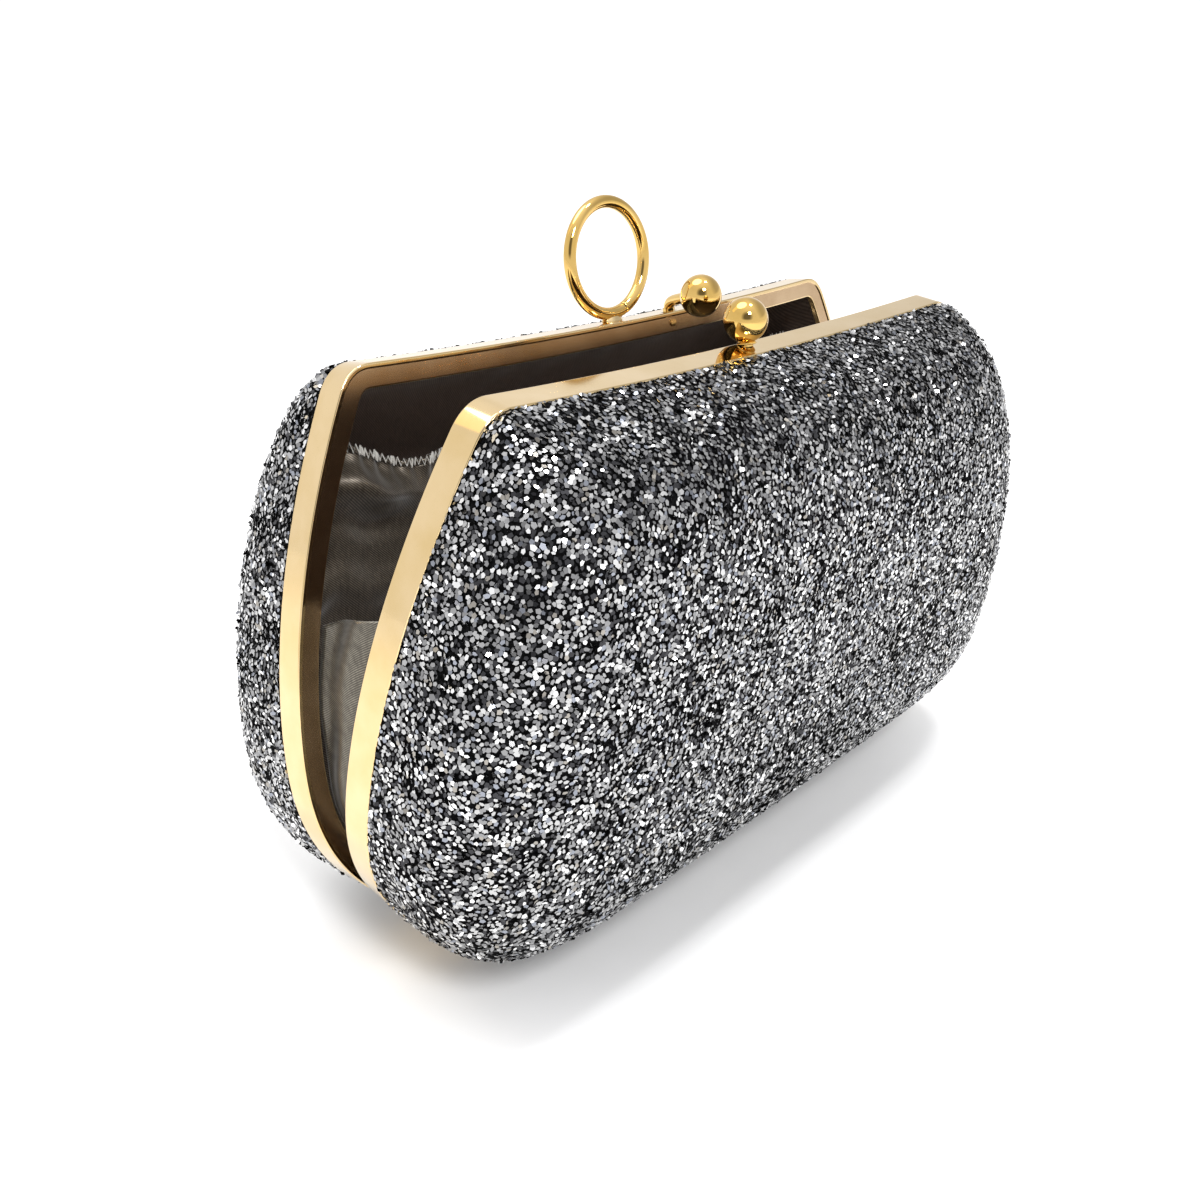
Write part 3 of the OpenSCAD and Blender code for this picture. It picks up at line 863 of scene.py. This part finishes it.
def make_flakes(side, body, node, grid, seed):
    """Chunky five-cornered chips, lying almost flat and a little over each other."""
    rng = np.random.default_rng(seed)
    places, normals = scatter(grid, FLAKE_SPACING, rng)
    if np.mean(normals[:, 1]) < 0:
        normals = -normals
    count = len(places)
    waves = random_waves(rng, 9, 8, 17)
    pushes = rng.normal(size=(9, 3))
    swell = np.sin(places @ waves.T + rng.uniform(0, 6.3, 9)) @ pushes / 3
    lean = rng.normal(size=(count, 3)) * np.abs(rng.normal(0, FLAKE_LEAN, (count, 1))) + SWELL_LEAN * swell
    facing = unit(normals + lean)
    across = unit(np.cross(facing, rng.normal(size=(count, 3))))
    third = np.cross(facing, across)
    lift = rng.uniform(0.0, FLAKE_LIFT, count) - FLAKE_PRESS
    centre = places + normals * (lift + GROUND_SINK)[:, None]
    size = FLAKE_R * rng.uniform(0.78, 1.14, count)
    third = third * rng.uniform(0.6, 1.0, (count, 1))
    corners = []
    for turn in np.linspace(0, 2 * np.pi, FLAKE_CORNERS, endpoint=False):
        reach = (size * rng.uniform(0.74, 1.16, count))[:, None]
        corners.append(centre + reach * (math.cos(turn) * across + math.sin(turn) * third))
    rings = np.stack(corners, 1)
    rings[..., 1] = np.maximum(rings[..., 1], COVER_D)
    points = place(rings.reshape(-1, 3), side)
    points[:, 2] = np.maximum(points[:, 2], 0.05 * MM)
    faces = np.arange(FLAKE_CORNERS * count).reshape(-1, FLAKE_CORNERS)
    faces = faces if side == REAR else faces[:, ::-1]
    weights = np.array([share for _, share in FLAKES])
    tones = rng.choice(len(FLAKES), count, p=weights / weights.sum())
    new_piece(node + "_flakes", points, faces.tolist(), [material for material, _ in FLAKES], body,
              sharp=0, face_material=tones)


for side, body, half, flake_seed, _ in HALVES:
    make_shell(side, body, half + "_shell")
    cover, cover_grid = make_cover(side, body, half + "_cover")
    # The first row is the skirt inside the band, which no flake covers
    make_flakes(side, body, half + "_cover", cover_grid[1:], flake_seed)


# ---------------------------------------------------------------- linings
LINING_GAP = 0.1
WRINKLE_H = 1.1


def make_lining(side, body, half, seed):
    """Satin stuck inside a shell, with a few soft wrinkles that stand in towards the cavity."""
    rng = np.random.default_rng(seed)
    inset = LINING_IN_T - LINING_GAP
    grid = np.vstack([rim_row(inset, SKIRT_D - 0.2),
                      dome_grid(inset, LINING_IN_H + LINING_GAP, DETAIL, ROWS)])
    rows, columns = grid.shape[:2]
    waves = random_waves(rng, 7, 14, 40)
    height = np.abs(np.sin(grid @ waves.T + rng.uniform(0, 6.3, 7))).mean(-1) ** 3
    fade = np.clip(np.arange(rows) / 8, 0, 1)[:, None]
    inward = np.array(crown(0)) - grid
    inward /= np.linalg.norm(inward, axis=2)[:, :, None]
    grid = grid + inward * (WRINKLE_H * height * fade)[:, :, None]
    points = np.vstack([grid.reshape(-1, 3), [crown(LINING_IN_H - 0.2)]])
    faces = ring_faces(rows, columns) + fan_faces((rows - 1) * columns, columns, len(points) - 1)
    faces = [tuple(reversed(f)) for f in faces]
    piece = new_piece(half + "_satin_lining", place(points, side), oriented(faces, side), [LINING_SATIN],
                      body, [half + "_lining"])


for side, body, half, _, lining_seed in HALVES:
    make_lining(side, body, half, lining_seed)


# ---------------------------------------------------------------- slip pocket and its hem
POCKET_LOW, POCKET_HIGH = 10.0, 95.8
POCKET_HALF = 84.0
POCKET_RISE, RISE_FROM, RISE_OVER = 9.0, 50.0, 32.0
SATIN_T = 0.4
ELASTIC_H = 1.5
ELASTIC_STEP = 0.22
STITCH_STEP, STITCH_R = 0.62, 0.21
# Bulges across the pocket: how far each stands in (or out), at what height and how wide it is
HEM_PUFF, PUFF_AT, PUFF_W = 5.4, 0.925, 0.036
HEM_HOLLOW, HOLLOW_AT, HOLLOW_W = 1.6, 0.845, 0.03
LOW_FOLD, FOLD_AT, FOLD_W = 2.2, 0.70, 0.045


def slanted(inset, z):
    """An inset square to the outline's side, measured along x."""
    return inset * np.hypot(1, side_x(z + 0.5) - side_x(z - 0.5))


def pocket_point(u, v):
    """Middle surface of the pocket: u runs -1 to 1 across it, v 0 to 1 up it. Its top climbs at the ends."""
    step = np.clip((np.abs(u) * POCKET_HALF - RISE_FROM) / RISE_OVER, 0, 1)
    top = POCKET_HIGH + POCKET_RISE * step * step * (3 - 2 * step)
    z = POCKET_LOW + (top - POCKET_LOW) * v
    x = (side_x(z) - slanted(LINING_IN_T + 0.8, z)) * u * 0.985
    k = x / HALF_W
    d = 9.5 + 11 * (1 - k * k) * (0.45 + 0.55 * v) + 5 * (1 - v)
    return np.stack([x, d, z], -1)


def gathers(u, v, rng):
    """Soft upright folds that the elastic draws in, deepest under the hem."""
    height = np.zeros_like(u)
    for _ in range(9):
        waves = rng.uniform(14, 38)
        phase = rng.uniform(0, 6.3)
        drift = rng.uniform(-6, 6)
        height += np.sin(waves * u + phase + drift * v) * rng.uniform(0.5, 1.0)
    near_hem = np.clip((v - 0.55) / 0.45, 0, 1) ** 1.5
    droop = np.sin(3.1 * u + 0.7) * 1.2 * np.sin(np.pi * v)
    ends = np.clip(1.04 - np.abs(u), 0, 0.2) / 0.2
    return 0.62 * height * near_hem * ends + droop


def bulge(v, at, width):
    return np.exp(-((v - at) / width) ** 2)


def thicken(piece):
    """Gives a sheet the thickness of satin."""
    solid = piece.modifiers.new("thickness", "SOLIDIFY")
    solid.thickness, solid.offset = SATIN_T * MM, 0


def make_pocket():
    """Gathered satin: it is drawn tight at the hem, swells in a puff below it and then hangs loose."""
    rng = np.random.default_rng(31)
    columns, rows = 420, 170
    u, v = np.meshgrid(np.linspace(-1, 1, columns), np.linspace(0, 1, rows))
    grid = pocket_point(u, v)
    run = np.abs(u) * POCKET_HALF
    wander = 0.014 * np.sin(run / 6.3 + 1.0) + 0.010 * np.sin(run / 3.1)
    puff = HEM_PUFF * bulge(v + wander, PUFF_AT, PUFF_W) - HEM_HOLLOW * bulge(v + wander, HOLLOW_AT, HOLLOW_W)
    puff *= 0.75 + 0.35 * np.sin(run / 4.7 + 0.4)
    puff += LOW_FOLD * bulge(v + 2 * wander, FOLD_AT, FOLD_W)
    pinch = 0.5 * np.sin(run / 0.85) * np.clip((v - 0.94) / 0.06, 0, 1)
    edge = np.clip((1 - np.abs(u)) / 0.08, 0, 1)
    grid[..., 1] -= (gathers(u, v, rng) + puff + pinch) * edge
    piece = new_piece("slip_pocket_satin", place(grid.reshape(-1, 3), REAR),
                      ring_faces(rows, columns, closed=False), [POCKET_SATIN], "rear_half",
                      ["slip_pocket"])
    thicken(piece)
    return piece, grid


def make_hem(top_row):
    """Elastic hem: a narrow ruffled rib on the pocket's top edge, with an overlock zigzag along it."""
    length = np.concatenate([[0], np.cumsum(np.linalg.norm(np.diff(top_row, axis=0), axis=1))])
    run = np.arange(0, length[-1], ELASTIC_STEP)
    row = np.stack([np.interp(run, length, top_row[:, axis]) for axis in range(3)], 1)
    ripple = 0.22 * np.sin(run / 0.36) + 0.12 * np.sin(run / 0.83 + 1)
    rows = []
    for out, up in arc((0, 0), 1.0, 0, 360, 14)[:-1]:
        lift = ELASTIC_H / 2 + (ELASTIC_H / 2 - 0.1) * up + ripple
        rows.append(row + np.stack([0 * run, 0.6 * out + 0.7 * ripple, lift], 1))
    grid = np.array(rows + rows[:1])
    new_piece("pocket_hem_elastic", place(grid.reshape(-1, 3), REAR),
              ring_faces(len(grid), len(row), closed=False), [POCKET_SATIN], "rear_half",
              ["pocket_elastic"])
    rng = np.random.default_rng(7)
    stitch = []
    for k, along in enumerate(np.arange(1.0, length[-1] - 1.0, STITCH_STEP)):
        spot = np.array([np.interp(along, length, top_row[:, axis]) for axis in range(3)])
        reach = (1.15 if k % 2 else 0.0) + rng.uniform(-0.15, 0.15)
        stitch.append(spot + [rng.uniform(-0.1, 0.1), -0.85, ELASTIC_H * reach])
    points, faces = tube(stitch, STITCH_R, 6, up=(0, 1, 0))
    new_piece("pocket_hem_overlock", place(points, REAR), faces, [HEM_THREAD], "rear_half")


pocket, pocket_grid = make_pocket()
make_hem(pocket_grid[-1])


# ---------------------------------------------------------------- gussets
GUSSET_LOW, GUSSET_H, GUSSET_ARCH = 8.0, 66.0, 3.0
GUSSET_IN = FLANGE_W + 1


def gusset_point(u, v):
    """Web between the halves at the left side: u runs -1 to 1 across it, v 0 to 1 up it."""
    z = GUSSET_LOW + (GUSSET_H + GUSSET_ARCH * (1 - u * u)) * v
    y = u * (z * math.tan(TILT) + 2)
    fold = (1 - u * u) * (1 + 4 * v)
    x = -(side_x(z) - slanted(GUSSET_IN, z) - fold) + 0.4
    return np.stack([x, y, AXIS_Z + z * math.cos(TILT)], -1) * MM


def make_gusset(name, mirror, seed):
    rng = np.random.default_rng(seed)
    columns, rows = 41, 90
    u, v = np.meshgrid(np.linspace(-1, 1, columns), np.linspace(0, 1, rows))
    grid = gusset_point(u, v)
    crease = 2.0 * np.sin(4.6 * u + 2.5 * v + rng.uniform(0.4, 0.9)) * (1 - u * u)
    crease += 0.3 * np.sin(17 * v + 4 * u)
    grid[..., 0] += crease * MM * np.clip(v * 4, 0, 1)
    grid[..., 0] *= mirror
    faces = ring_faces(rows, columns, closed=False)
    piece = new_piece(name + "_satin", grid.reshape(-1, 3), oriented(faces, mirror), [GUSSET_SATIN], None,
                      [name])
    thicken(piece)
    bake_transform(piece)


make_gusset("gusset_left", 1, 3)
make_gusset("gusset_right", -1, 4)


# ---------------------------------------------------------------- lock balls and finger ring
RIVET_Z = TOP_Z - TOP_DIP - RIVET_DROP
ELBOW_Z = RIVET_Z + 4.6
NECK_R = 1.28
TAB_TOP = 3.2
TAB_FILLET, TAB_END_R = 0.4, 1.55
COLLAR_ANGLE = math.radians(24)
COLLAR_R = 2.05


def make_knob(name, at, foot, side, body, node):
    """A turned ball with a collar and a short neck that meets its arm."""
    axis = unit((np.array(foot, float) - np.array(at, float))[None])[0]
    across = unit(np.cross(axis, [1.0, 0.2, 0.1])[None])[0]
    third = np.cross(axis, across)
    profile = [(KNOB_R * math.sin(a), KNOB_R * math.cos(a)) for a in np.linspace(math.pi, COLLAR_ANGLE, 60)]
    collar_at = KNOB_R * math.cos(COLLAR_ANGLE) + 0.12
    profile += [(COLLAR_R - 0.25, collar_at), (COLLAR_R, collar_at + 0.18), (COLLAR_R, collar_at + 0.42),
                (COLLAR_R - 0.25, collar_at + 0.58), (1.32, collar_at + 0.62), (1.3, collar_at + 1.0)]
    sides = 96
    turns = np.linspace(0, 2 * np.pi, sides, endpoint=False)
    centre = np.array(at)
    points = []
    for radius, along in profile[1:]:
        for turn in turns:
            points.append(centre + axis * along + radius * (math.cos(turn) * across + math.sin(turn) * third))
    faces = ring_faces(len(profile) - 1, sides)
    points.append(centre - axis * KNOB_R)
    faces += [((c + 1) % sides, c, len(points) - 1) for c in range(sides)]
    last = (len(profile) - 2) * sides
    faces.append(tuple(last + c for c in range(sides)))
    piece = new_piece(name, place(points, side), faces, [GILT_BRIGHT], None, [node], sharp=45)
    outward(piece, 45)
    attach(piece, body)


def make_arm(name, route, side, body, node):
    """A knob's arm: a flat tab behind the flange that turns into a bent round neck."""
    x = route[0][0]
    shoulder = ARM_W / 2 - TAB_FILLET
    corners = arc((x - shoulder, RIVET_Z + TAB_TOP), TAB_FILLET, 180, 90)
    corners += arc((x + shoulder, RIVET_Z + TAB_TOP), TAB_FILLET, 90, 0)
    corners += arc((x, RIVET_Z), TAB_END_R, -10, -170, 12)
    tab = [(cx, ARM_MID + part * ARM_T / 2, cz) for part in (-1, 1) for cx, cz in corners]
    # A Bezier curve through the route's ends, drawn towards its bends
    bends, degree = np.array(route, float), len(route) - 1
    t = np.linspace(0, 1, 28)[:, None]
    path = sum(math.comb(degree, k) * (1 - t) ** (degree - k) * t**k * bend for k, bend in enumerate(bends))
    neck, neck_faces = tube(path, NECK_R, 24, up=(1, 0.1, 0))
    points = np.vstack([tab, neck])
    faces = prism_faces(len(corners)) + [tuple(v + len(tab) for v in f) for f in neck_faces]
    piece = new_piece(name, place(points, side), faces, [GILT_BRIGHT], None, [node])
    outward(piece, 45)
    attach(piece, body)


FRONT_FOOT = (FRONT_KNOB[0], ARM_MID, ELBOW_Z - 0.6)
REAR_FOOT = (REAR_ARM_X - 1.6, ARM_MID - 3.5, ELBOW_Z + 1.1)
make_knob("front_lock_knob", FRONT_KNOB, FRONT_FOOT, FRONT, "front_lock_ball", "front_knob")
make_knob("rear_lock_knob", REAR_KNOB, REAR_FOOT, REAR, "rear_lock_ball", "rear_knob")
make_arm("front_lock_arm", [(FRONT_KNOB[0], ARM_MID, RIVET_Z + 2.4), FRONT_FOOT, FRONT_KNOB], FRONT,
         "front_lock_ball", "front_knob_arm")
make_arm("rear_lock_arm", [(REAR_ARM_X, ARM_MID, RIVET_Z + 2.4), (REAR_ARM_X, ARM_MID, ELBOW_Z + 0.9),
                           (REAR_ARM_X - 0.8, ARM_MID - 1.4, ELBOW_Z + 0.8), REAR_KNOB], REAR,
         "rear_lock_ball", "rear_knob_arm")


SEAM_TURN = 19
SEAM_GAP = 0.10


def make_ring():
    """Ring of bent wire whose ends meet in a fine butt seam near its foot."""
    centre_z = top_at(RING_X) + RING_LIFT + WIRE_R + RING_R
    seam = math.radians(-90 + SEAM_TURN)
    gap = SEAM_GAP / RING_R
    whole = 2 * np.pi
    turns = seam + np.concatenate([np.linspace(gap, 6 * gap, 6), np.linspace(0.09, whole - 0.09, 190),
                                   np.linspace(whole - 6 * gap, whole - gap, 6)])
    path = np.stack([RING_X + RING_R * np.cos(turns), np.full(len(turns), RING_D),
                     centre_z + RING_R * np.sin(turns)], 1)
    radius = np.full(len(turns), WIRE_R)
    ease = np.array([0.90, 0.96, 0.985, 0.995, 1.0, 1.0])
    radius[:6] *= ease
    radius[-6:] *= ease[::-1]
    points, faces = tube(path, radius, 40, up=(0, 1, 0))
    new_piece("finger_ring_wire", place(points, REAR), faces, [GILT_BRIGHT], "rear_half",
              ["finger_ring"], sharp=45)


make_ring()


# ---------------------------------------------------------------- CAD pieces that keep their shape
for name, node in frame["nodes"].items():
    if not node.hide_render:
        material = STEEL if "hinge" in name else GILT
        node.data.materials.clear()
        node.data.materials.append(material)
